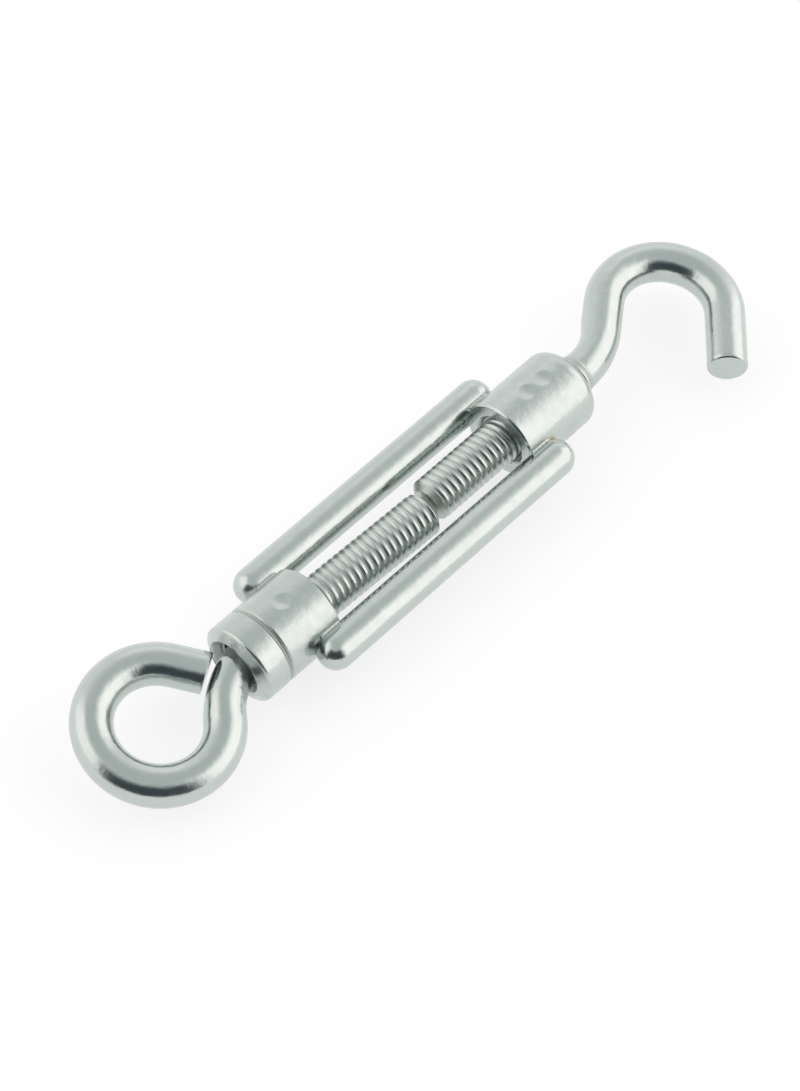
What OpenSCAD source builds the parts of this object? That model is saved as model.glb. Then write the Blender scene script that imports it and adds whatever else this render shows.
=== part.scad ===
// Rigging turnbuckle: welded open frame, left-hand eye bolt, right-hand hook bolt.
// +X runs along the screw axis towards the hook, +Z is up, and the origin is the
// middle of the frame on the screw axis. All sizes are millimetres.

/* [Frame] */
// Length over the two end bosses
frame_length = 60; // [45:1:110]
// Outside diameter of an end boss
boss_d = 10.9; // [9:0.1:16]
// Length of an end boss
boss_length = 12.9; // [10:0.1:20]
// Diameter of a side bar
bar_d = 4.8; // [3:0.1:8]
// Distance between the side bar centre lines
bar_spacing = 13.9; // [12:0.1:24]
// Length of a side bar over its round ends
bar_length = 44.4; // [30:0.1:90]
// Width of the fused zone between a bar and a boss
weld_core_t = 0.4; // [0.2:0.1:1]
// Length of a weld past the straight part of the bar
weld_past = 0.8; // [0:0.1:1]
// Radius of the weld bead beside a bar
weld_bead_r = 0.38; // [0.2:0.02:0.8]

/* [End bosses] */
// Length of the cone on the eye boss's outer end
eye_end_cone_l = 0.8; // [0.2:0.1:2]
// Drop in radius over that cone
eye_end_cone_h = 1.35; // [0.2:0.05:2]
// Radius rolled on the hook boss's outer rim
hook_end_round = 1.9; // [0.5:0.1:2]
// Distance of the left-hand groove from the eye boss's outer end
groove_from_end = 4.4; // [2:0.1:8]
// Depth of the left-hand groove
groove_depth = 0.4; // [0.1:0.05:1]
// Mouth radius of the countersink at a boss's outer end
outer_sink_r = 3.95; // [3.5:0.05:4.5]
// Depth of that countersink
outer_sink_l = 1.1; // [0.3:0.1:2]
// Mouth radius of the countersink at a boss's inner end
inner_sink_r = 3.75; // [3.5:0.05:4.5]
// Depth of that countersink
inner_sink_l = 0.5; // [0.2:0.1:2]
// Chamfer on a boss's inner rim
inner_rim = 0.25; // [0:0.05:1]
// Radius of a plain round dimple
dimple_r = 1.2; // [0.5:0.1:2]
// Depth of a dimple
dimple_depth = 0.22; // [0.05:0.01:0.5]

/* [Screw threads] */
// Crest diameter of the bolt thread
thread_d = 5.9; // [4:0.05:8]
// Thread pitch
pitch = 1; // [0.7:0.05:1.25]
// Root diameter of the bolt thread
root_d = 4.78; // [3:0.02:7]
// Radial running clearance of a moving thread
run_gap = 0.05; // [0.02:0.01:0.1]
// Wall of the thread lining that stands for the tapped thread
lining_wall = 0.3; // [0.2:0.05:0.6]
// Angle by which the eye bolt leans in the frame
eye_lean = 1.7; // [0:0.1:2]
// Place along the frame where the two bolt tips face each other
tips_at = 3.3; // [-5:0.1:5]
// Gap between the two bolt tips
tips_gap = 0.6; // [0.3:0.1:4]

/* [Wire] */
// Diameter of the bolt wire
wire_d = 5.3; // [4:0.05:8]

/* [Eye] */
// Bend radius of the eye at the wire's centre line
eye_r = 7.9; // [6:0.1:14]
// Distance from the frame's middle to the eye's centre
eye_reach = 41.74; // [38:0.01:60]
// Sideways offset of the eye's centre from the screw axis
eye_side = 0.43; // [0:0.01:2]
// Bend radius of the neck behind the eye
eye_neck_r = 10; // [5:0.5:15]
// Angle round the eye where the bend ends and the wire runs straight
eye_open_a = 35; // [10:1:60]
// Direction that the cut end faces, from the neck's bend centre
eye_cut_a = 120; // [100:1:140]
// Clear gap between the cut end and the neck
eye_cut_gap = 0.2; // [0.1:0.05:1]
// Roll of the eye's plane about the screw axis
eye_roll = 11.3; // [-180:0.1:180]

/* [Hook] */
// Distance from the frame's middle to the start of the neck bend
hook_neck_x = 31.9; // [30.5:0.1:40]
// Bend radius of the neck
hook_neck_r = 11.9; // [5:0.1:20]
// Angle of the neck bend
hook_neck_a = 35.7; // [0:0.1:60]
// Straight length between the neck and the hook bend
hook_straight = 4.9; // [0:0.1:15]
// Bend radius of the hook at the wire's centre line
hook_r = 7.85; // [5:0.05:15]
// Angle of the hook bend
hook_a = 173.2; // [120:0.1:200]
// Straight length of the free end
hook_tip_l = 8.55; // [2:0.05:20]
// Chamfer on the free end
hook_tip_bevel = 0.25; // [0:0.05:1]
// Roll of the hook's plane about the screw axis
hook_roll = 5.7; // [-180:0.1:180]

/* [Hidden] */
$fn = 96;
bright = [0.80, 0.82, 0.82];
satin = [0.76, 0.77, 0.76];
seam = [0.70, 0.69, 0.66];
half = frame_length / 2;
inner_x = half - boss_length;
boss_r = boss_d / 2;
bar_r = bar_d / 2;
bar_y = bar_spacing / 2;
bar_half = bar_length / 2 - bar_r;
wire_r = wire_d / 2;
crest_r = thread_d / 2;
root_r = root_d / 2;
lining_bore = crest_r + run_gap;
lining_r = lining_bore + lining_wall;
boss_bore = lining_r + run_gap;
boss_mid = half - boss_length / 2;
flank = (crest_r - root_r) * tan(30);
crest_w = pitch / 8;
// Every second length of wire is this much thinner and runs this far into its neighbours.
fuse_step = 0.02;
fuse_run = 0.3;
// Line where a bar's surface crosses a boss's surface
join_y = (pow(bar_y, 2) + pow(boss_r, 2) - pow(bar_r, 2)) / (2 * bar_y);
join_z = sqrt(pow(boss_r, 2) - pow(join_y, 2));
eye_tip_x = tips_at - tips_gap / 2;
hook_tip_x = tips_at + tips_gap / 2;
// Start of the eye's neck bend, from the two arcs that touch
eye_neck_x = sqrt(pow(eye_r + eye_neck_r, 2) - pow(eye_neck_r + eye_side, 2)) - eye_reach;
eye_join_a = asin((eye_neck_r + eye_side) / (eye_r + eye_neck_r));

// Turns a shape made along Z so that it runs along +X from x0.
module along_x(x0) {
  translate([x0, 0, 0]) rotate([0, 90, 0]) children();
}

// Moves a shape from the eye bolt's own axis to where the bolt leans in the frame.
module leaned() {
  translate([-boss_mid, 0, 0]) rotate([0, 0, -eye_lean]) translate([boss_mid, 0, 0]) children();
}

// Space inside a boss: straight bore with a countersink at each end.
module boss_hole() {
  over = 0.6;
  grow_o = (outer_sink_r - boss_bore) / outer_sink_l * over;
  grow_i = (inner_sink_r - boss_bore) / inner_sink_l * over;
  rotate_extrude()
    polygon([[0, -over], [outer_sink_r + grow_o, -over], [boss_bore, outer_sink_l],
             [boss_bore, boss_length - inner_sink_l],
             [inner_sink_r + grow_i, boss_length + over], [0, boss_length + over]]);
}

// Eye boss blank: outer cone, groove and plain barrel, along Z from the outer end.
module eye_boss_blank() {
  g = groove_from_end;
  rotate_extrude()
    polygon([[0, 0], [boss_r - eye_end_cone_h, 0], [boss_r, eye_end_cone_l],
             [boss_r, g - groove_depth], [boss_r - groove_depth, g - 0.08],
             [boss_r - groove_depth, g + 0.08], [boss_r, g + groove_depth],
             [boss_r, boss_length - inner_rim], [boss_r - inner_rim, boss_length],
             [0, boss_length]]);
}

// Hook boss blank: rolled outer rim and plain barrel, along Z from the outer end.
module hook_boss_blank() {
  e = hook_end_round;
  rotate_extrude() union() {
    polygon([[0, 0], [boss_r - e, 0], [boss_r - e, e], [boss_r, e],
             [boss_r, boss_length - inner_rim], [boss_r - inner_rim, boss_length],
             [0, boss_length]]);
    intersection() {
      translate([boss_r - e, e]) circle(r = e);
      translate([boss_r - e, 0]) square([e, e]);
    }
  }
}

// Shallow round dimple in the top of a boss, at x along the frame.
module dimple(x) {
  ball = (pow(dimple_r, 2) + pow(dimple_depth, 2)) / (2 * dimple_depth);
  translate([x, 0, boss_r + ball - dimple_depth]) sphere(r = ball);
}

// One side bar with half-ball ends; side is +1 or -1.
module bar(side) {
  translate([0, side * bar_y, 0]) {
    along_x(-bar_half) cylinder(h = 2 * bar_half, r = bar_r);
    for (x = [-bar_half, bar_half]) translate([x, 0, 0]) sphere(r = bar_r);
  }
}

// Fused zone of one weld: a thin core between bar and boss with a bead at each edge.
module weld_zone(end, side) {
  from = inner_x + inner_rim;
  run = bar_half + weld_past - from;
  x0 = end > 0 ? from : -from - run;
  translate([x0, side * join_y, 0]) {
    translate([0, -weld_core_t / 2, -join_z]) cube([run, weld_core_t, 2 * join_z]);
    for (z = [-join_z, join_z])
      translate([0, 0, z]) rotate([0, 90, 0]) cylinder(h = run, r = weld_bead_r);
  }
}

// Everything that is cut away from a boss: both bars and both fused zones.
module boss_seats(end) {
  for (side = [-1, 1]) {
    bar(side);
    weld_zone(end, side);
  }
}

module eye_end_boss() {
  color(satin) difference() {
    along_x(-half) eye_boss_blank();
    leaned() along_x(-half) boss_hole();
    boss_seats(-1);
    dimple(-21.7);
  }
}

module hook_end_boss() {
  color(satin) difference() {
    translate([half, 0, 0]) rotate([0, -90, 0]) hook_boss_blank();
    translate([half, 0, 0]) rotate([0, -90, 0]) boss_hole();
    boss_seats(1);
    dimple(21.95);
    dimple(24.95);
  }
}

// A side bar, relieved where the two fused zones reach into it.
module side_bar(side) {
  color(bright) difference() {
    bar(side);
    weld_zone(-1, side);
    weld_zone(1, side);
  }
}

module left_side_bar() { side_bar(1); }

module right_side_bar() { side_bar(-1); }

module eye_left_weld() { color(seam) weld_zone(-1, 1); }

module eye_right_weld() { color(seam) weld_zone(-1, -1); }

module hook_left_weld() { color(seam) weld_zone(1, 1); }

module hook_right_weld() { color(seam) weld_zone(1, -1); }

// Thread lining along Z: a thin sleeve with chamfered mouths.
module lining() {
  z0 = outer_sink_l + 0.05;
  z1 = boss_length - inner_sink_l - 0.05;
  c = lining_wall * 0.6;
  rotate_extrude()
    polygon([[lining_bore + c, z0], [lining_r, z0], [lining_r, z1], [lining_bore + c, z1],
             [lining_bore, z1 - c], [lining_bore, z0 + c]]);
}

module eye_end_thread() {
  color(seam) leaned() along_x(-half) lining();
}

module hook_end_thread() {
  color(seam) translate([half, 0, 0]) rotate([0, -90, 0]) lining();
}

// Threaded shank along Z from its bevelled tip; ridges stand for the thread crests.
module shank(length) {
  lead = 0.6;
  count = floor((length - lead - 0.6) / pitch);
  ridges = [for (i = [0 : count - 1], k = [0 : 3])
    [k == 0 || k == 3 ? root_r : crest_r,
     lead + i * pitch + (k == 0 ? 0 : k == 1 ? flank : k == 2 ? flank + crest_w
                         : 2 * flank + crest_w)]];
  rotate_extrude()
    polygon(concat([[0, 0], [root_r - 0.45, 0], [root_r, 0.4]], ridges,
                   [[root_r, length - 0.6], [wire_r, length - 0.4], [wire_r, length],
                    [0, length]]));
}

// Wire bent about the Z axis through an angle, starting on +X.
module bend(r, from, sweep) {
  rotate([0, 0, from]) rotate_extrude(angle = sweep) translate([r, 0]) circle(r = wire_r);
}

// The same, a hair thinner and run a little way into the wire at each end.
module bend_in(r, from, sweep) {
  into = fuse_run / r * 180 / PI;
  rotate([0, 0, from - into]) rotate_extrude(angle = sweep + 2 * into)
    translate([r, 0]) circle(r = wire_r - fuse_step);
}

// Eye and its neck in the flat, on the screw axis.
module eye_wire() {
  a = eye_join_a;
  n = eye_neck_x;
  out = 7;
  cut_side = wire_r + eye_cut_gap;
  translate([n, -eye_neck_r, 0]) bend_in(eye_neck_r, 90, 90 - a);
  translate([-eye_reach, eye_side, 0]) bend(eye_r, eye_open_a, 360 - a - eye_open_a);
  difference() {
    translate([-eye_reach, eye_side, 0]) rotate([0, 0, eye_open_a])
      translate([eye_r, fuse_run, 0]) rotate([90, 0, 0])
        cylinder(h = out, r = wire_r - fuse_step);
    translate([n, -eye_neck_r, 0]) rotate([0, 0, eye_cut_a])
      translate([-2, -9, -wire_r - 1]) cube([eye_neck_r + 2 + cut_side, 18, wire_d + 2]);
  }
}

module eye_bolt() {
  color(bright) leaned() rotate([eye_roll, 0, 0]) {
    translate([eye_tip_x, 0, 0]) rotate([0, -90, 0]) shank(eye_tip_x - eye_neck_x);
    eye_wire();
  }
}

// Hook and its neck in the flat, on the screw axis.
module hook_wire() {
  translate([hook_neck_x, hook_neck_r, 0]) bend_in(hook_neck_r, -90, hook_neck_a);
  translate([hook_neck_x + hook_neck_r * sin(hook_neck_a),
             hook_neck_r * (1 - cos(hook_neck_a)), 0]) rotate([0, 0, hook_neck_a]) {
    along_x(0) cylinder(h = hook_straight, r = wire_r);
    translate([hook_straight, -hook_r, 0]) {
      bend_in(hook_r, 90 - hook_a, hook_a);
      rotate([0, 0, 90 - hook_a]) translate([hook_r, 0, 0]) rotate([90, 0, 0]) {
        cylinder(h = hook_tip_l - hook_tip_bevel, r = wire_r);
        translate([0, 0, hook_tip_l - hook_tip_bevel])
          cylinder(h = hook_tip_bevel, r1 = wire_r, r2 = wire_r - hook_tip_bevel);
      }
    }
  }
}

module hook_bolt() {
  color(bright) rotate([hook_roll, 0, 0]) {
    along_x(hook_tip_x) shank(hook_neck_x - hook_tip_x);
    hook_wire();
  }
}

eye_end_boss();
hook_end_boss();
left_side_bar();
right_side_bar();
eye_left_weld();
eye_right_weld();
hook_left_weld();
hook_right_weld();
eye_end_thread();
hook_end_thread();
eye_bolt();
hook_bolt();
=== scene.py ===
"""Rigging turnbuckle: the looks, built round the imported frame.

Lengths in this file are millimetres, in the frame's own axes, and turn to metres only where
a mesh, camera or light is made. +X runs along the screw axis towards the hook, +Z is up.
"""
import math

import bmesh
import bpy
import numpy as np
from mathutils import Matrix, Vector, noise


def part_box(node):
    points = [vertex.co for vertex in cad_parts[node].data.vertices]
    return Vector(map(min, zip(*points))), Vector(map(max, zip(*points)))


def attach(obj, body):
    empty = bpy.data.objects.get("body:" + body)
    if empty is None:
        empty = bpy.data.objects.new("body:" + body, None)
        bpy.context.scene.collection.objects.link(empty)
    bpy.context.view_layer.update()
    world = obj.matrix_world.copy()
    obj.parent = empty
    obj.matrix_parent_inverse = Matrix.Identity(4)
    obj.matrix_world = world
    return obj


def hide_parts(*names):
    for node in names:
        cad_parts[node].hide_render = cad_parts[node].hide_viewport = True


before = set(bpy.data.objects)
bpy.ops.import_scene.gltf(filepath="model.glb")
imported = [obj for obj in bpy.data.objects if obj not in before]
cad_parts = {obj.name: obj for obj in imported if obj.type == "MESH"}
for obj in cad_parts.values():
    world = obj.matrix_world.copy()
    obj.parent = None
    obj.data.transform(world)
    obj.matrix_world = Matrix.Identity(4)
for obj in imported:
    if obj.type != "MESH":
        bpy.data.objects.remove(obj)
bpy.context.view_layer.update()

scene = bpy.context.scene
MM = 0.001


def box_mm(node):
    """Lowest and highest corner of a CAD node, in millimetres."""
    lo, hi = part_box(node)
    return lo / MM, hi / MM


# ---------------------------------------------------------------- sizes from the frame
HOOK_BOSS_LO, HOOK_BOSS_HI = box_mm("hook_end_boss")
BAR_LO, BAR_HI = box_mm("left_side_bar")
HALF = -box_mm("eye_end_boss")[0].x         # frame's half length; this end has a flat face
INNER_X = HOOK_BOSS_LO.x                    # a boss's inner face
BOSS_R = HOOK_BOSS_HI.z
BOSS_MID = (HALF + INNER_X) / 2
BOSS_LENGTH = HALF - INNER_X
BAR_R = BAR_HI.z
BAR_Y = (BAR_LO.y + BAR_HI.y) / 2
BAR_HALF = BAR_HI.x - BAR_R                 # centre of a bar's round end
WELD_END_X = box_mm("hook_left_weld")[1].x

# ---------------------------------------------------------------- sizes of the part itself
CREST_R, ROOT_R, PITCH = 2.95, 2.68, 1.0    # roots shallower than the CAD's 2.39: low relief
LINING_BORE, LINING_R = 3.0, 3.3
BOSS_BORE = 3.35
INNER_RIM = 0.25                            # chamfer on a boss's inner rim
OUTER_SINK_R, OUTER_SINK_L = 3.95, 1.1
INNER_SINK_R, INNER_SINK_L = 3.75, 0.5
HOOK_RIM = 1.9                              # radius rolled on the hook boss's outer rim
EYE_FACE_R, EYE_CONE_L = 4.10, 0.8          # flat outer face and cone of the eye boss
LINING_GROOVE = 0.22                        # cut outwards, clear of the turning bolt
WIRE_R = 2.625                              # a hair under the CAD's, to stay in its box
FULL_WIRE_R = 2.65                          # the CAD's wire
TIP_R, TIP_SLOPE, TIP_FLAT_R = 1.94, 1.15, 1.6      # bevel and flat of a bolt's inner tip
THREAD_RUNOUT = 1.0
END_STRETCH = 3.0                           # last of the wire, sheared to the plane of its cut
EYE_FLAT, EYE_FLAT_DEPTH = (0.8, 9.5), 0.30         # pressed in while bending, past the neck
HOOK_FLAT, HOOK_FLAT_DEPTH = (0.4, 8.4), 0.26
LINING_GAP = 0.05                           # a lining stops short of the countersinks
WELD_REACH, WELD_SINK = 0.42, 0.03          # a fillet's edge: past the seam, into the steel
WELD_RIPPLE, RIPPLE_LENGTH = 0.012, 0.62
WELD_CORE_Y, WELD_CORE_Z = 0.2, 0.35        # half width of the core, and short of the seam
BOSS_UNEVEN, BOSS_WANDER = 0.014, 2.6       # depth and length of a surface's unevenness
BAR_UNEVEN, BAR_WANDER = 0.012, 3.5
BOLT_COLUMNS, ROD_COLUMNS, BOSS_COLUMNS = 72, 96, 192
BOSS_STEP, ROD_STEP, WIRE_STEP = 0.19, 0.45, 0.4    # distance of mesh rows
GROOVE_AT, GROOVE_DEPTH = 4.4, 0.4          # left-hand mark, from the eye boss's outer end
DIMPLE_R, DIMPLE_DEPTH = 1.2, 0.22
EYE_DIMPLES, HOOK_DIMPLES = (-21.7,), (21.95, 24.95)
HEAT_SPOT, HEAT_REACH = (20.5, -5.3, 1.1), 0.9      # straw-coloured weld end
EYE_LEAN = math.radians(1.7)
EYE_TIP_X, HOOK_TIP_X = 3.0, 3.6
EYE_R, EYE_ROLL = 7.9, math.radians(11.3)
EYE_NECK_R, EYE_NECK_X, EYE_JOIN_A = 10.0, -27.19, 35.64
EYE_OPEN_A, EYE_CUT_A, EYE_CUT_GAP = 35.0, math.radians(120), 0.20
HOOK_NECK_X, HOOK_NECK_R, HOOK_NECK_A = 31.9, 11.9, 35.7
HOOK_STRAIGHT, HOOK_R, HOOK_A = 4.9, 7.85, 173.2
HOOK_TIP_L, HOOK_ROLL = 8.55, math.radians(5.7)


# ---------------------------------------------------------------- mesh tools
def finish_mesh(name, bm, node, body, material, soft_angle=40):
    """Turns millimetre geometry into a piece that stands for a CAD node."""
    bmesh.ops.remove_doubles(bm, verts=bm.verts, dist=1e-5)
    bmesh.ops.recalc_face_normals(bm, faces=bm.faces)
    bmesh.ops.scale(bm, vec=(MM, MM, MM), verts=bm.verts)
    mesh = bpy.data.meshes.new(name)
    bm.to_mesh(mesh)
    bm.free()
    mesh.shade_smooth()
    mesh.set_sharp_from_angle(angle=math.radians(soft_angle))
    piece = bpy.data.objects.new(name, mesh)
    scene.collection.objects.link(piece)
    mesh.materials.append(material)
    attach(piece, body)
    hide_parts(node)
    return piece


def straight_layer(bm):
    """Vertex attribute with a vertex's place on the wire before bending, in millimetres."""
    return bm.verts.layers.float_vector.new("straight")


def groove_layer(bm):
    """Vertex attribute for painted shade: 1 at the bottom of a thread or recess and 0 in the open."""
    return bm.verts.layers.float.new("groove")


def ring(bm, x, radii, count):
    """Ring of vertices round the X axis; radii is one radius or a function of the angle."""
    verts = []
    for j in range(count):
        a = 2 * math.pi * j / count
        r = radii(a) if callable(radii) else radii
        v = bm.verts.new((x, r * math.cos(a), r * math.sin(a)))
        verts.append(v)
    return verts


def skin(bm, rings, closed=False):
    """Quads between neighbouring rings; closed joins the last ring to the first."""
    pairs = list(zip(rings, rings[1:]))
    if closed:
        pairs.append((rings[-1], rings[0]))
    for a, b in pairs:
        n = len(a)
        for j in range(n):
            bm.faces.new((a[j], a[(j + 1) % n], b[(j + 1) % n], b[j]))


def zip_loops(bm, loop_a, loop_b):
    """Triangles between two closed loops round the X axis that differ in vertex count."""
    def by_angle(loop):
        return sorted(((math.atan2(v.co.z, v.co.y), v) for v in loop), key=lambda t: t[0])
    a, b = by_angle(loop_a), by_angle(loop_b)
    i = j = 0
    while i < len(a) or j < len(b):
        next_a = a[(i + 1) % len(a)][0] + (2 * math.pi if i + 1 >= len(a) else 0)
        next_b = b[(j + 1) % len(b)][0] + (2 * math.pi if j + 1 >= len(b) else 0)
        va, vb = a[i % len(a)][1], b[j % len(b)][1]
        if j >= len(b) or (i < len(a) and next_a <= next_b):
            bm.faces.new((va, a[(i + 1) % len(a)][1], vb))
            i += 1
        else:
            bm.faces.new((va, b[(j + 1) % len(b)][1], vb))
            j += 1


def cap(bm, loop, steps, dome=0.0):
    """Closes a round loop with shrinking rings and a centre vertex."""
    count = len(loop)
    centre = sum((v.co for v in loop), Vector()) / count
    last = loop
    for k in range(1, steps):
        share = 1 - k / steps
        rise = dome * (1 - share ** 2)
        this = [bm.verts.new((centre + (v.co - centre) * share) + Vector((rise, 0, 0)))
                for v in loop]
        skin(bm, [last, this])
        last = this
    tip = bm.verts.new(centre + Vector((dome, 0, 0)))
    for j in range(count):
        bm.faces.new((last[j], last[(j + 1) % count], tip))


# ---------------------------------------------------------------- screw threads
def thread_height(turns):
    """0 at the root and 1 at the crest of a thread with wide crests and softened corners."""
    height = 0.0
    for shift in (-0.03, -0.015, 0.0, 0.015, 0.03):
        wave = abs(2 * ((turns + shift) % 1.0) - 1)
        height += min(1.0, max(0.0, (wave - 0.12) / 0.50))
    return height / 5


def helix_skin(bm, x0, x1, hand, radius, columns, per_turn=16):
    """Threaded surface from x0 to x1 whose mesh rows follow the helix.

    radius(x, height) gives the surface's radius for a place and a thread height of 0 to 1.
    Returns the two boundary loops, at x0 and at x1.
    """
    rows = {}
    first = math.floor((x0 - 2 * PITCH) / PITCH) * per_turn
    last = math.ceil((x1 + 2 * PITCH) / PITCH) * per_turn
    for i in range(first, last + 1):
        for j in range(columns):
            a = 2 * math.pi * j / columns
            x = PITCH * (i / per_turn + hand * j / columns)
            r = radius(x, thread_height(i / per_turn))
            rows[i, j] = bm.verts.new((x, r * math.cos(a), r * math.sin(a)))
    step = hand * per_turn
    for i in range(first, last):
        for j in range(columns):
            k, shift = (j + 1, 0) if j + 1 < columns else (0, step)
            corners = [(i, j), (i, k), (i + 1, k), (i + 1, j)]
            corners[1] = (i + shift, k)
            corners[2] = (i + 1 + shift, k)
            if all(c in rows for c in corners):
                bm.faces.new([rows[c] for c in corners])
    for x, side in ((x0, -1), (x1, 1)):
        geom = [g for kind in (bm.verts, bm.edges, bm.faces) for g in kind]
        bmesh.ops.bisect_plane(bm, geom=geom, dist=1e-6, plane_co=(x, 0, 0),
                               plane_no=(side, 0, 0), clear_outer=True)
    loops = [[], []]
    for v in bm.verts:
        if v.is_boundary:
            loops[0 if abs(v.co.x - x0) < abs(v.co.x - x1) else 1].append(v)
    return loops


# ---------------------------------------------------------------- bent wire
def walk(start, heading, moves):
    """Centre line in the flat from straight and arc moves, marked every half millimetre or less.

    A move is ("line", length) or ("arc", radius, angle), a positive angle turning left.
    Returns the lengths walked, the places and the headings as arrays.
    """
    s, place, angle = 0.0, np.array(start, float), heading
    lengths, places, angles = [], [], []

    def mark(heading_now):
        """Notes down where the walk has come to."""
        lengths.append(s)
        places.append(place.copy())
        angles.append(heading_now)

    mark(angle)
    for move in moves:
        if move[0] == "line":
            count = max(1, round(move[1] / 0.5))
            for _ in range(count):
                place = place + move[1] / count * np.array([math.cos(angle), math.sin(angle)])
                s += move[1] / count
                mark(angle)
        else:
            _, radius, turn = move
            turn = math.radians(turn)
            side = math.copysign(1, turn)
            count = max(2, round(abs(turn) * radius / 0.4))
            centre = place + side * radius * np.array([-math.sin(angle), math.cos(angle)])
            for k in range(1, count + 1):
                now = angle + turn * k / count
                place = centre - side * radius * np.array([-math.sin(now), math.cos(now)])
                s += abs(turn) * radius / count
                mark(now)
            angle = now
    return np.array(lengths), np.array(places), np.array(angles)


def bent_place(path, co):
    """Where a point of the straight wire comes to lie in the flat, z staying as it is."""
    lengths, places, angles = path
    s = min(max(co.x, 0.0), lengths[-1])
    k = min(max(int(np.searchsorted(lengths, s)), 1), len(lengths) - 1)
    share = (s - lengths[k - 1]) / (lengths[k] - lengths[k - 1])
    angle = angles[k - 1] + (angles[k] - angles[k - 1]) * share
    base = places[k - 1] + (places[k] - places[k - 1]) * share
    chord = lengths[k] - lengths[k - 1]
    bulge = (angles[k] - angles[k - 1]) * chord * share * (1 - share) / 2
    left = np.array([-math.sin(angle), math.cos(angle)])
    ahead = np.array([math.cos(angle), math.sin(angle)])
    flat = base - left * bulge + left * co.y + ahead * (co.x - s)
    return Vector((flat[0], flat[1], co.z))


def flattened(co, start, stop, side, depth):
    """Point of the straight wire with one side pressed in between start and stop."""
    share = (co.x - start) / (stop - start)
    if not 0 < share < 1 or co.y * side <= 0:
        return co
    press = depth * math.sin(math.pi * share) ** 0.7 * (abs(co.y) / WIRE_R) ** 2
    return Vector((co.x, co.y - side * press, co.z))


def bolt_mesh(path, hand, thread_end, end_plane=None, end_bevel=0.25, flat=None):
    """Bolt as one closed mesh: bevelled tip, thread, run-out, bent wire and cut end.

    end_plane is (point, normal) in the flat, for an end that isn't cut square. flat is
    (start, stop, side, depth): a stretch whose left (+1) or right (-1) side was pressed in
    by the bending tool.
    """
    columns = BOLT_COLUMNS
    length = path[0][-1]
    bm = bmesh.new()

    def radius(x, height):
        full = min(1.0, max(0.0, (thread_end - x) / THREAD_RUNOUT))
        full = full * full * (3 - 2 * full)
        r = WIRE_R + (ROOT_R + (CREST_R - ROOT_R) * height - WIRE_R) * full
        return min(r, TIP_R + max(x, 0.0) * TIP_SLOPE)

    tip_loop, end_loop = helix_skin(bm, 0.0, thread_end + 0.05, hand, radius, columns)
    inner = ring(bm, 0.0, TIP_FLAT_R, columns)
    zip_loops(bm, tip_loop, inner)
    cap(bm, inner, 5, dome=-0.03)

    count = round((length - end_bevel - thread_end) / WIRE_STEP)
    rings = [ring(bm, thread_end + 0.2 + (length - end_bevel - thread_end - 0.2) * k / count,
                  WIRE_R, columns) for k in range(count + 1)]
    zip_loops(bm, end_loop, rings[0])
    for k in range(1, 5):
        a = math.pi / 2 * k / 4
        rings.append(ring(bm, length - end_bevel * (1 - math.sin(a)),
                          WIRE_R - end_bevel * (1 - math.cos(a)), columns))
    skin(bm, rings)
    cap(bm, rings[-1], 8, dome=0.02)

    straight = straight_layer(bm)
    groove = groove_layer(bm)
    bm.verts.ensure_lookup_table()
    for v in bm.verts:
        v[straight] = v.co.copy()
        r = math.hypot(v.co.y, v.co.z)
        # Painted shade: thread vertices are marked from 0.35 at the crests to 1 at the roots, and the
        # shader darkens the roots by it.
        if v.co.x < thread_end and r > TIP_R - 0.04:
            v[groove] = 0.35 + 0.65 * min(1.0, max(0.0, (CREST_R - r) / (CREST_R - ROOT_R)))
    for v in bm.verts:
        stretch = v.co.x
        if flat:
            v.co = flattened(v.co, *flat)
        v.co = bent_place(path, v.co)
        if end_plane and stretch > length - END_STRETCH:
            point, normal = end_plane
            heading = np.array([math.cos(path[2][-1]), math.sin(path[2][-1])])
            wanted = (np.array([v.co.x, v.co.y]) - point) @ normal - (length - stretch)
            share = (stretch - (length - END_STRETCH)) / END_STRETCH
            shift = wanted / (heading @ normal) * share
            v.co.x -= heading[0] * shift
            v.co.y -= heading[1] * shift
    return bm


# ---------------------------------------------------------------- frame pieces
LEAN = (Matrix.Translation((-BOSS_MID, 0, 0)) @ Matrix.Rotation(-EYE_LEAN, 4, "Z")
        @ Matrix.Translation((BOSS_MID, 0, 0)))


def rounded(points, steps=6):
    """Profile with its corners rounded; points are (d, r, corner radius)."""
    profile = []
    for k, (d, r, radius) in enumerate(points):
        here = np.array([d, r])
        if radius == 0:
            profile.append(here)
            continue
        before = np.array(points[k - 1][:2]) - here
        after = np.array(points[(k + 1) % len(points)][:2]) - here
        before = before / np.linalg.norm(before)
        after = after / np.linalg.norm(after)
        half = math.acos(max(-1.0, min(1.0, float(before @ after)))) / 2
        reach = radius / math.tan(half)
        start, stop = here + before * reach, here + after * reach
        for i in range(steps + 1):
            t = i / steps
            profile.append(start * (1 - t) ** 2 + 2 * here * t * (1 - t) + stop * t ** 2)
    return profile


def divided(profile, step):
    """Closed profile with no stretch longer than step."""
    fine = []
    for a, b in zip(profile, profile[1:] + profile[:1]):
        count = max(1, math.ceil(float(np.linalg.norm(b - a)) / step))
        fine.extend(a + (b - a) * i / count for i in range(count))
    return fine


def wander(x, y, z, size, seed):
    """Smooth noise of 0 to 1 over lengths of about size."""
    return 0.5 + 0.5 * noise.noise(Vector((x / size + seed, y / size, z / size)))


def heat_share(place):
    """How far the heat of welding has tinted a place: 1 at the hot spot, fading to 0."""
    return math.exp(-((place - Vector(HEAT_SPOT)).length / HEAT_REACH) ** 2)


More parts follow.
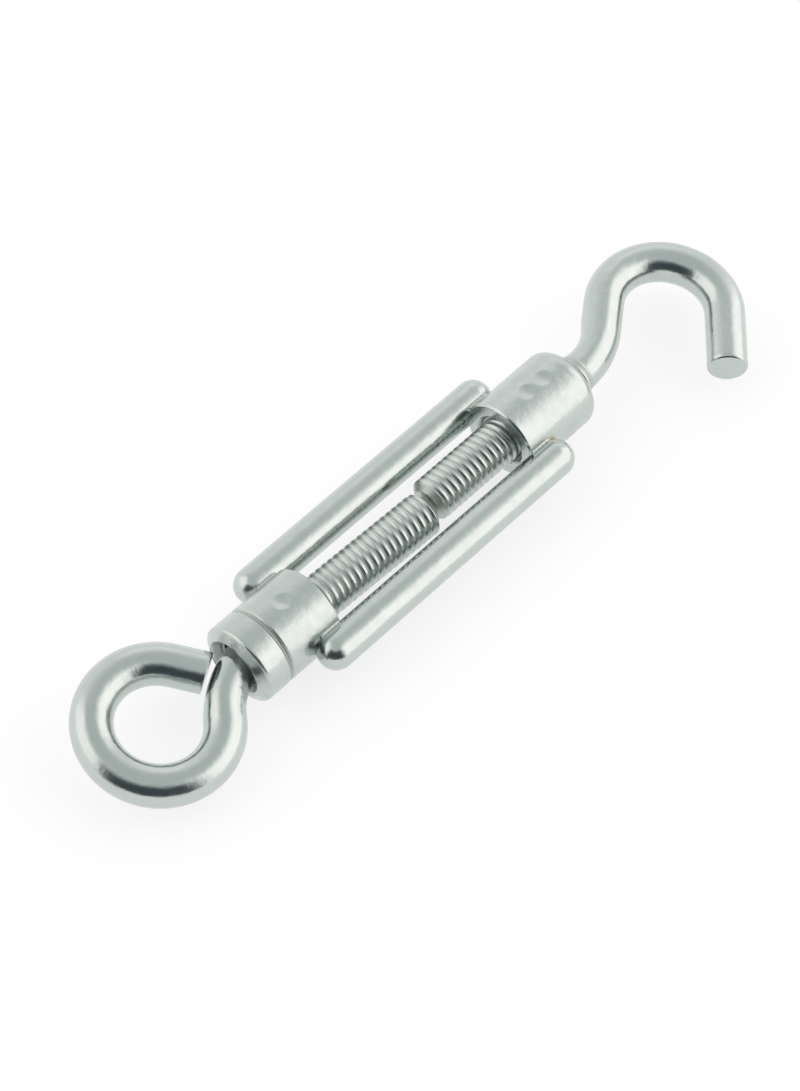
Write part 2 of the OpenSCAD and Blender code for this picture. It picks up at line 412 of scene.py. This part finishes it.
def boss_mesh(end, outside, dimples, groove_at=None):
    """Turned boss with a bore; end is -1 or +1, outside is its profile from the outer end.

    Where the outside starts with a flat face, the countersink begins at its own mouth; a
    rolled rim runs straight into it.
    """
    inside = [(BOSS_LENGTH, INNER_SINK_R, 0.12), (BOSS_LENGTH - INNER_SINK_L, BOSS_BORE, 0.1),
              (OUTER_SINK_L, BOSS_BORE, 0.15)]
    if outside[0][0] == 0:
        inside.append((0.0, OUTER_SINK_R, 0.06))
    profile = divided(rounded(outside + inside), BOSS_STEP)
    bm = bmesh.new()
    groove = groove_layer(bm)
    tint = bm.verts.layers.float.new("tint")
    rings = []
    for d, r in profile:
        x = end * (HALF - d)
        bore = r < OUTER_SINK_R + 0.04
        verts = []
        for j in range(BOSS_COLUMNS):
            a = 2 * math.pi * j / BOSS_COLUMNS
            radius = r
            if not bore:
                radius -= BOSS_UNEVEN * wander(x, r * math.cos(a), r * math.sin(a),
                                               BOSS_WANDER, 7.0)
            if r > BOSS_R - 0.1:
                for centre in dimples:
                    off = math.remainder(a - math.pi / 2, 2 * math.pi) * r
                    t = math.hypot(x - centre, off) / DIMPLE_R
                    if t < 1:
                        radius -= DIMPLE_DEPTH * (1 - t * t)
            v = bm.verts.new((x, radius * math.cos(a), radius * math.sin(a)))
            # Painted shade: the V-shaped mark is marked by its depth and the whole bore at 1, for the
            # shader to darken them.
            if groove_at is not None and abs(d - groove_at) < 0.5 and not bore:
                v[groove] = min(1.0, max(0.0, 1.6 * (BOSS_R - r) / GROOVE_DEPTH))
            elif bore and 0.2 < d < BOSS_LENGTH - 0.3:
                v[groove] = 1.0
            v[tint] = heat_share(v.co)
            if bore and end < 0:
                v.co = LEAN @ v.co
                v.co.x = min(max(v.co.x, -HALF), -INNER_X)
            verts.append(v)
        rings.append(verts)
    skin(bm, rings, closed=True)
    bmesh.ops.recalc_face_normals(bm, faces=bm.faces)
    return bm


def capsule(side, uneven=0.0):
    """Round rod with half-ball ends, on the bar's own line."""
    bm = bmesh.new()
    tint = bm.verts.layers.float.new("tint")
    places = [(-BAR_HALF - BAR_R * math.cos(a), BAR_R * math.sin(a))
              for a in (math.pi / 2 * k / 16 for k in range(1, 16))]
    count = round(2 * BAR_HALF / ROD_STEP)
    places += [(-BAR_HALF + 2 * BAR_HALF * k / count, BAR_R) for k in range(count + 1)]
    places += [(-x, r) for x, r in reversed(places[:15])]
    rings = []
    for x, r in places:
        rings.append(ring(bm, x, lambda a, x=x, r=r: r - uneven * wander(
            x, r * math.cos(a), r * math.sin(a), BAR_WANDER, side * 11.0), ROD_COLUMNS))
    skin(bm, rings)
    for loop, x in ((rings[0], -1), (rings[-1], 1)):
        tip = bm.verts.new((x * (BAR_HALF + BAR_R), 0, 0))
        for j in range(ROD_COLUMNS):
            bm.faces.new((loop[j], loop[(j + 1) % ROD_COLUMNS], tip))
    for v in bm.verts:
        v.co.y += side * BAR_Y
        v[tint] = heat_share(v.co)
    bmesh.ops.recalc_face_normals(bm, faces=bm.faces)
    return bm


def seated(bm):
    """Boss with the seats of both bars cut out of it."""
    def throwaway(source):
        mesh = bpy.data.meshes.new("work")
        source.to_mesh(mesh)
        source.free()
        obj = bpy.data.objects.new("work", mesh)
        scene.collection.objects.link(obj)
        return obj
    body = throwaway(bm)
    cutters = [throwaway(capsule(side)) for side in (-1, 1)]
    for cutter in cutters:
        cut = body.modifiers.new("seat", "BOOLEAN")
        cut.operation, cut.solver, cut.object = "DIFFERENCE", "EXACT", cutter
    bpy.context.view_layer.update()
    result = bmesh.new()
    result.from_object(body, bpy.context.evaluated_depsgraph_get())
    for obj in [body] + cutters:
        mesh = obj.data
        bpy.data.objects.remove(obj)
        bpy.data.meshes.remove(mesh)
    return result


def weld_mesh(end, side):
    """Weld between a boss and a bar: a thin core with a rippled fillet at each edge."""
    bm = bmesh.new()
    tint = bm.verts.layers.float.new("tint")
    x0, x1, count = INNER_X + INNER_RIM, WELD_END_X, 70
    rings = []
    for k in range(count + 1):
        t = k / count
        x = x0 + (x1 - x0) * t
        past = max(0.0, x - BAR_HALF)
        rod = math.sqrt(BAR_R ** 2 - past ** 2)
        seam_y = (BAR_Y ** 2 + BOSS_R ** 2 - rod ** 2) / (2 * BAR_Y)
        seam_z = math.sqrt(BOSS_R ** 2 - seam_y ** 2)
        taper = min(1.0, t / 0.06, (1 - t) / 0.12)
        taper = 0.25 + 0.75 * math.sqrt(max(0.0, taper * (2 - taper)))
        sway = 2.5 * wander(x, 0, 0, 0.7, end + side)
        ripple = WELD_RIPPLE * math.sin(2 * math.pi * x / RIPPLE_LENGTH + sway)
        reach = (WELD_REACH + ripple) * taper
        on_boss = math.atan2(seam_z, seam_y) + reach / BOSS_R
        on_bar = math.atan2(seam_z, seam_y - BAR_Y) - reach / rod
        a = np.array([math.cos(on_boss), math.sin(on_boss)]) * (BOSS_R - WELD_SINK)
        b = np.array([math.cos(on_bar), math.sin(on_bar)]) * (rod - WELD_SINK) + (BAR_Y, 0)
        low = np.array([seam_y, seam_z + 0.10 * taper + ripple])
        top = [a * (1 - u) ** 2 + 2 * low * u * (1 - u) + b * u ** 2
               for u in (i / 8 for i in range(9))]
        core_z = seam_z - WELD_CORE_Z
        core = [(seam_y + WELD_CORE_Y, core_z), (seam_y + WELD_CORE_Y, -core_z)]
        under = [(p[0], -p[1]) for p in reversed(top)]
        back = [(seam_y - WELD_CORE_Y, -core_z), (seam_y - WELD_CORE_Y, core_z)]
        rings.append([bm.verts.new((end * x, side * p[0], p[1]))
                      for p in [*top, *core, *under, *back]])
    skin(bm, rings)
    bm.faces.new(rings[0])
    bm.faces.new(rings[-1])
    for v in bm.verts:
        v[tint] = heat_share(v.co)
    return bm


def lining_mesh(end):
    """Tapped thread as a sleeve; its grooves are cut outwards from the bore."""
    x0, x1 = sorted((end * (HALF - OUTER_SINK_L - LINING_GAP),
                     end * (INNER_X + INNER_SINK_L + LINING_GAP)))
    bm = bmesh.new()
    loops = helix_skin(bm, x0, x1, end,
                       lambda x, height: LINING_BORE + LINING_GROOVE * height, ROD_COLUMNS)
    outer = [ring(bm, x0 + (x1 - x0) * k / 12, LINING_R, ROD_COLUMNS) for k in range(13)]
    skin(bm, outer)
    zip_loops(bm, loops[0], outer[0])
    zip_loops(bm, loops[1], outer[-1])
    groove = groove_layer(bm)
    # Painted shade: the tapped bore is marked from 0.6 at its crests to 1 at the bottom of its cuts,
    # for the shader to darken.
    for v in bm.verts:
        r = math.hypot(v.co.y, v.co.z)
        v[groove] = 0.6 + 0.4 * min(1.0, (r - LINING_BORE) / LINING_GROOVE)
    if end < 0:
        bmesh.ops.transform(bm, matrix=LEAN, verts=bm.verts)
    return bm


# ---------------------------------------------------------------- materials
class Nodes:
    """Small helper that wires shader nodes by name."""

    def __init__(self, name):
        self.material = bpy.data.materials.new(name)
        self.material.use_nodes = True
        self.tree = self.material.node_tree
        self.tree.nodes.clear()
        self.out = self.tree.nodes.new("ShaderNodeOutputMaterial")
        self.shader = self.tree.nodes.new("ShaderNodeBsdfPrincipled")
        self.link(self.shader.outputs[0], self.out.inputs["Surface"])

    def link(self, a, b):
        self.tree.links.new(a, b)

    def add(self, kind, **settings):
        node = self.tree.nodes.new("ShaderNode" + kind)
        for key, value in settings.items():
            setattr(node, key, value)
        return node

    def noise(self, coords, scale, stretch=(1, 1, 1), detail=3.0, rough=0.55):
        """Noise over millimetre coordinates, stretched per axis."""
        mapping = self.add("Mapping")
        mapping.inputs["Scale"].default_value = stretch
        self.link(coords, mapping.inputs["Vector"])
        tex = self.add("TexNoise")
        tex.inputs["Scale"].default_value = scale
        tex.inputs["Detail"].default_value = detail
        tex.inputs["Roughness"].default_value = rough
        self.link(mapping.outputs[0], tex.inputs["Vector"])
        return tex.outputs["Fac"]

    def spread(self, value, lo, hi, from_lo=0.3, from_hi=0.7):
        """Value of from_lo to from_hi brought to lo to hi."""
        node = self.add("MapRange")
        for key, v in (("From Min", from_lo), ("From Max", from_hi),
                       ("To Min", lo), ("To Max", hi)):
            node.inputs[key].default_value = v
        self.link(value, node.inputs["Value"])
        return node.outputs[0]

    def mix(self, factor, a, b, blend="MIX"):
        """Colour mix; a and b are colours or outputs."""
        node = self.add("Mix", data_type="RGBA", blend_type=blend)
        self.put(factor, node.inputs["Factor"])
        self.put(a, node.inputs[6])
        self.put(b, node.inputs[7])
        return node.outputs[2]

    def math(self, operation, a, b):
        node = self.add("Math", operation=operation)
        self.put(a, node.inputs[0])
        self.put(b, node.inputs[1])
        return node.outputs[0]

    def put(self, value, socket):
        if isinstance(value, bpy.types.NodeSocket):
            self.link(value, socket)
        elif isinstance(value, (tuple, list)):
            socket.default_value = (*value, 1.0)
        else:
            socket.default_value = value

    def bump(self, height, distance_mm, strength=1.0, under=None):
        node = self.add("Bump")
        node.inputs["Distance"].default_value = distance_mm * MM
        node.inputs["Strength"].default_value = strength
        self.link(height, node.inputs["Height"])
        if under is not None:
            self.link(under, node.inputs["Normal"])
        return node.outputs[0]

    def attribute(self, name, output):
        return self.add("Attribute", attribute_name=name).outputs[output]

    def object_mm(self):
        """Object coordinates in millimetres."""
        coords = self.add("TexCoord").outputs["Object"]
        scale = self.add("VectorMath", operation="SCALE")
        scale.inputs["Scale"].default_value = 1 / MM
        self.link(coords, scale.inputs[0])
        return scale.outputs[0]


ZINC = (0.565, 0.618, 0.597)
ZINC_DULL = (0.500, 0.548, 0.528)
STRAW = (0.60, 0.52, 0.36)


def zinc_steel(name, coords, lines, rough, mottle, peel, groove=True, streak=0.6):
    """Bright zinc-plated steel.

    coords is "straight" for wire and "object" for turned pieces; lines is the stretch of the
    drawing or turning marks; rough is (lowest, highest); mottle is how far the colour and
    gloss wander; peel is the depth of the surface's slight waviness, in millimetres.
    """
    n = Nodes(name)
    place = n.attribute("straight", "Vector") if coords == "straight" else n.object_mm()
    patches = n.noise(place, 0.45, detail=4.0)
    streaks = n.noise(place, 1.0, stretch=lines, detail=4.0, rough=0.65)
    specks = n.noise(place, 9.0, detail=2.0)
    tone = n.mix(n.spread(patches, 0.0, mottle), ZINC, ZINC_DULL)
    tone = n.mix(n.spread(streaks, 0.0, 0.35), tone, ZINC_DULL)
    gloss = n.math("ADD", n.spread(patches, rough[0], rough[1]), n.spread(streaks, 0.0, 0.05))
    gloss = n.math("ADD", gloss, n.spread(specks, 0.0, 0.03))
    # Painted shade: the colour is darkened towards a dull grey in thread roots, recesses and bores, as
    # marked on the mesh; the roughness rises there too.
    if groove:
        recess_shade = n.attribute("groove", "Fac")
        tone = n.mix(n.spread(recess_shade, 0.0, 0.35, 0.60, 1.0), tone, (0.46, 0.48, 0.43))
        gloss = n.math("ADD", gloss, n.spread(recess_shade, 0.0, 0.24, 0.20, 1.0))
    heat = n.math("MULTIPLY", n.attribute("tint", "Fac"), n.spread(specks, 0.5, 1.0))
    tone = n.mix(heat, tone, STRAW)
    n.link(tone, n.shader.inputs["Base Color"])
    n.link(gloss, n.shader.inputs["Roughness"])
    n.shader.inputs["Metallic"].default_value = 1.0
    waves = n.bump(n.noise(place, 0.8, detail=2.0), peel)
    n.link(n.bump(streaks, 0.012, streak, under=waves), n.shader.inputs["Normal"])
    return n


wire = zinc_steel("bright_wire", "straight", (0.12, 3.0, 3.0), (0.13, 0.20), 0.35, 0.04, streak=0.25)
bar_steel = zinc_steel("bar_steel", "object", (0.10, 2.5, 2.5), (0.13, 0.21), 0.45, 0.04, False, 0.25)
boss_steel = zinc_steel("boss_steel", "object", (1.1, 0.8, 0.8), (0.17, 0.26), 0.6, 0.05, True, 0.25)
weld_steel = zinc_steel("weld_steel", "object", (1.5, 1.5, 1.5), (0.24, 0.36), 0.7, 0.05, False)
tapped_steel = zinc_steel("tapped_steel", "object", (3.0, 0.4, 0.4), (0.25, 0.38), 0.8, 0.02)


# ---------------------------------------------------------------- the two bolts
eye_path = walk((EYE_TIP_X, 0.0), math.pi, [
    ("line", EYE_TIP_X - EYE_NECK_X),
    ("arc", EYE_NECK_R, 90 - EYE_JOIN_A),
    ("arc", EYE_R, -(360 - EYE_JOIN_A - EYE_OPEN_A)),
    ("line", 4.02)])
hook_path = walk((HOOK_TIP_X, 0.0), 0.0, [
    ("line", HOOK_NECK_X - HOOK_TIP_X),
    ("arc", HOOK_NECK_R, HOOK_NECK_A),
    ("line", HOOK_STRAIGHT),
    ("arc", HOOK_R, -HOOK_A),
    ("line", HOOK_TIP_L)])

cut_normal = np.array([math.cos(EYE_CUT_A), math.sin(EYE_CUT_A)])
cut_point = np.array([EYE_NECK_X, -EYE_NECK_R]) + cut_normal * (EYE_NECK_R + FULL_WIRE_R + EYE_CUT_GAP)
neck_s = EYE_TIP_X - EYE_NECK_X
bm = bolt_mesh(eye_path, -1, neck_s - 0.4, (cut_point, cut_normal), 0.12,
               flat=(neck_s + EYE_FLAT[0], neck_s + EYE_FLAT[1], -1, EYE_FLAT_DEPTH))
bmesh.ops.transform(bm, matrix=LEAN @ Matrix.Rotation(EYE_ROLL, 4, "X"), verts=bm.verts)
finish_mesh("eye_bolt_wire", bm, "eye_bolt", "eye_screw", wire.material, 60)

neck_s = HOOK_NECK_X - HOOK_TIP_X
bm = bolt_mesh(hook_path, 1, neck_s + 0.1, end_bevel=0.45,
               flat=(neck_s + HOOK_FLAT[0], neck_s + HOOK_FLAT[1], 1, HOOK_FLAT_DEPTH))
bmesh.ops.transform(bm, matrix=Matrix.Rotation(HOOK_ROLL, 4, "X"), verts=bm.verts)
finish_mesh("hook_bolt_wire", bm, "hook_bolt", "hook_screw", wire.material, 60)

# ---------------------------------------------------------------- the frame and linings
EYE_OUTSIDE = [(0.0, EYE_FACE_R, 0.08), (EYE_CONE_L, BOSS_R, 0.5),
               (GROOVE_AT - GROOVE_DEPTH, BOSS_R, 0.05),
               (GROOVE_AT - 0.08, BOSS_R - GROOVE_DEPTH, 0.03),
               (GROOVE_AT + 0.08, BOSS_R - GROOVE_DEPTH, 0.03),
               (GROOVE_AT + GROOVE_DEPTH, BOSS_R, 0.05),
               (BOSS_LENGTH - INNER_RIM, BOSS_R, 0.1), (BOSS_LENGTH, BOSS_R - INNER_RIM, 0.1)]
rim_turns = [math.radians(12 + 78 * k / 14) for k in range(15)]
HOOK_OUTSIDE = [(HOOK_RIM * (1 - math.cos(a)), BOSS_R - HOOK_RIM * (1 - math.sin(a)), 0)
                for a in rim_turns]
HOOK_OUTSIDE += [(BOSS_LENGTH - INNER_RIM, BOSS_R, 0.1), (BOSS_LENGTH, BOSS_R - INNER_RIM, 0.1)]

bm = seated(boss_mesh(-1, EYE_OUTSIDE, EYE_DIMPLES, GROOVE_AT))
finish_mesh("eye_boss_turned", bm, "eye_end_boss", "frame", boss_steel.material, 50)
bm = seated(boss_mesh(1, HOOK_OUTSIDE, HOOK_DIMPLES))
finish_mesh("hook_boss_turned", bm, "hook_end_boss", "frame", boss_steel.material, 50)
for name, side in (("left", 1), ("right", -1)):
    bm = capsule(side, BAR_UNEVEN)
    finish_mesh(name + "_bar_rod", bm, name + "_side_bar", "frame", bar_steel.material)
    for end_name, end in (("eye", -1), ("hook", 1)):
        node = end_name + "_" + name + "_weld"
        finish_mesh(node + "_bead", weld_mesh(end, side), node, "frame",
                    weld_steel.material, 60)
for end_name, end in (("eye", -1), ("hook", 1)):
    finish_mesh(end_name + "_tapped_sleeve", lining_mesh(end), end_name + "_end_thread",
                end_name + "_thread", tapped_steel.material, 60)


# ---------------------------------------------------------------- floor and light
def plain_floor():
    """Light table under the part: pale, faintly uneven, lit a little from below."""
    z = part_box("hook_end_boss")[0][2]
    side = 4.0                              # metres, so that no view sees its edge
    dark, pale, glow = (0.30, 0.30, 0.30), (0.33, 0.33, 0.33), 0.73
    mesh = bpy.data.meshes.new("floor")
    mesh.from_pydata([(-side, -side, z), (side, -side, z), (side, side, z), (-side, side, z)],
                     [], [(0, 1, 2, 3)])
    floor = bpy.data.objects.new("floor", mesh)
    scene.collection.objects.link(floor)
    n = Nodes("floor_white")
    cloud = n.noise(n.object_mm(), 0.01, detail=2.0)
    n.link(n.mix(cloud, dark, pale), n.shader.inputs["Base Color"])
    n.shader.inputs["Roughness"].default_value = 0.8
    n.shader.inputs["Emission Color"].default_value = (1.0, 1.0, 1.0, 1.0)
    n.shader.inputs["Emission Strength"].default_value = glow
    mesh.materials.append(n.material)


def studio_world():
    """Light tent: grey ceiling, three bright panels and one dark side."""
    world = bpy.data.worlds.new("tent")
    scene.world = world
    world.use_nodes = True
    tree = world.node_tree
    tree.nodes.clear()

    def add(kind, **settings):
        node = tree.nodes.new("ShaderNode" + kind)
        for key, value in settings.items():
            setattr(node, key, value)
        return node

    def put(value, socket):
        if isinstance(value, bpy.types.NodeSocket):
            tree.links.new(value, socket)
        else:
            socket.default_value = value

    def calc(operation, a, b=0.0):
        node = add("Math", operation=operation)
        put(a, node.inputs[0])
        put(b, node.inputs[1])
        return node.outputs[0]

    def blend(factor, a, b):
        node = add("Mix", data_type="RGBA")
        put(factor, node.inputs["Factor"])
        put(a if isinstance(a, bpy.types.NodeSocket) else (*a, 1.0), node.inputs[6])
        put(b if isinstance(b, bpy.types.NodeSocket) else (*b, 1.0), node.inputs[7])
        return node.outputs[2]

    def falloff(value, inside, outside):
        node = add("MapRange", interpolation_type="SMOOTHSTEP")
        put(value, node.inputs["Value"])
        put(inside, node.inputs["From Min"])
        put(outside, node.inputs["From Max"])
        put(1.0, node.inputs["To Min"])
        put(0.0, node.inputs["To Max"])
        return node.outputs[0]

    direction = add("TexCoord").outputs["Generated"]
    split = add("SeparateXYZ")
    put(direction, split.inputs[0])
    rise = calc("DEGREES", calc("ARCSINE", split.outputs["Z"]))

    def around(centre):
        """Degrees of turn between a direction and the azimuth centre."""
        spin = add("VectorRotate", rotation_type="Z_AXIS")
        put(direction, spin.inputs["Vector"])
        put(-math.radians(centre), spin.inputs["Angle"])
        parts = add("SeparateXYZ")
        put(spin.outputs[0], parts.inputs[0])
        return calc("ABSOLUTE", calc("DEGREES", calc("ARCTAN2", parts.outputs["Y"],
                                                     parts.outputs["X"])))

    def panel(azimuth, height, half_w, half_h, edge_w, edge_h):
        """Share of a soft-edged panel seen in each direction."""
        across = falloff(around(azimuth), half_w - edge_w / 2, half_w + edge_w / 2)
        up = calc("ABSOLUTE", calc("SUBTRACT", rise, height))
        upright = falloff(up, half_h - edge_h / 2, half_h + edge_h / 2)
        return calc("MULTIPLY", across, upright)

    def grey(level, tint=(1.0, 1.0, 1.0)):
        return tuple(level * t for t in tint)

    colour = blend(falloff(rise, 25, 75), grey(0.68, (0.94, 1.0, 1.0)), grey(0.96))
    colour = blend(panel(-38, 17, 39, 35, 20, 24), colour, grey(1.54, (1.06, 1.0, 0.98)))
    colour = blend(panel(131, 33, 32, 25, 18, 22), colour, grey(1.35, (1.05, 1.0, 0.98)))
    colour = blend(panel(40, 32, 16, 14, 20, 20), colour, grey(1.08, (1.03, 1.0, 1.0)))
    colour = blend(panel(-139, 16, 50, 36, 18, 24), colour, grey(0.07, (0.75, 1.0, 1.15)))
    camera_ray = add("LightPath").outputs["Is Camera Ray"]
    colour = blend(camera_ray, colour, grey(0.90))
    background = add("Background")
    put(colour, background.inputs["Color"])
    tree.links.new(background.outputs[0], add("OutputWorld").inputs["Surface"])


def photo_camera():
    """Camera at the angle the part is seen from: above, with the eye end nearest."""
    place = Vector((-183.30, -166.03, 335.33)) * MM
    tilt, roll, heading = 35.994, -0.430, -47.067       # degrees from looking straight down
    data = bpy.data.cameras.new("camera")
    data.lens = 112.11
    data.sensor_width = 36.0
    data.clip_start = 0.01                  # metres
    camera = bpy.data.objects.new("camera", data)
    scene.collection.objects.link(camera)
    camera.location = place
    camera.rotation_euler = [math.radians(a) for a in (tilt, roll, heading)]
    scene.camera = camera


plain_floor()
studio_world()
photo_camera()
scene.view_settings.view_transform = "Standard"
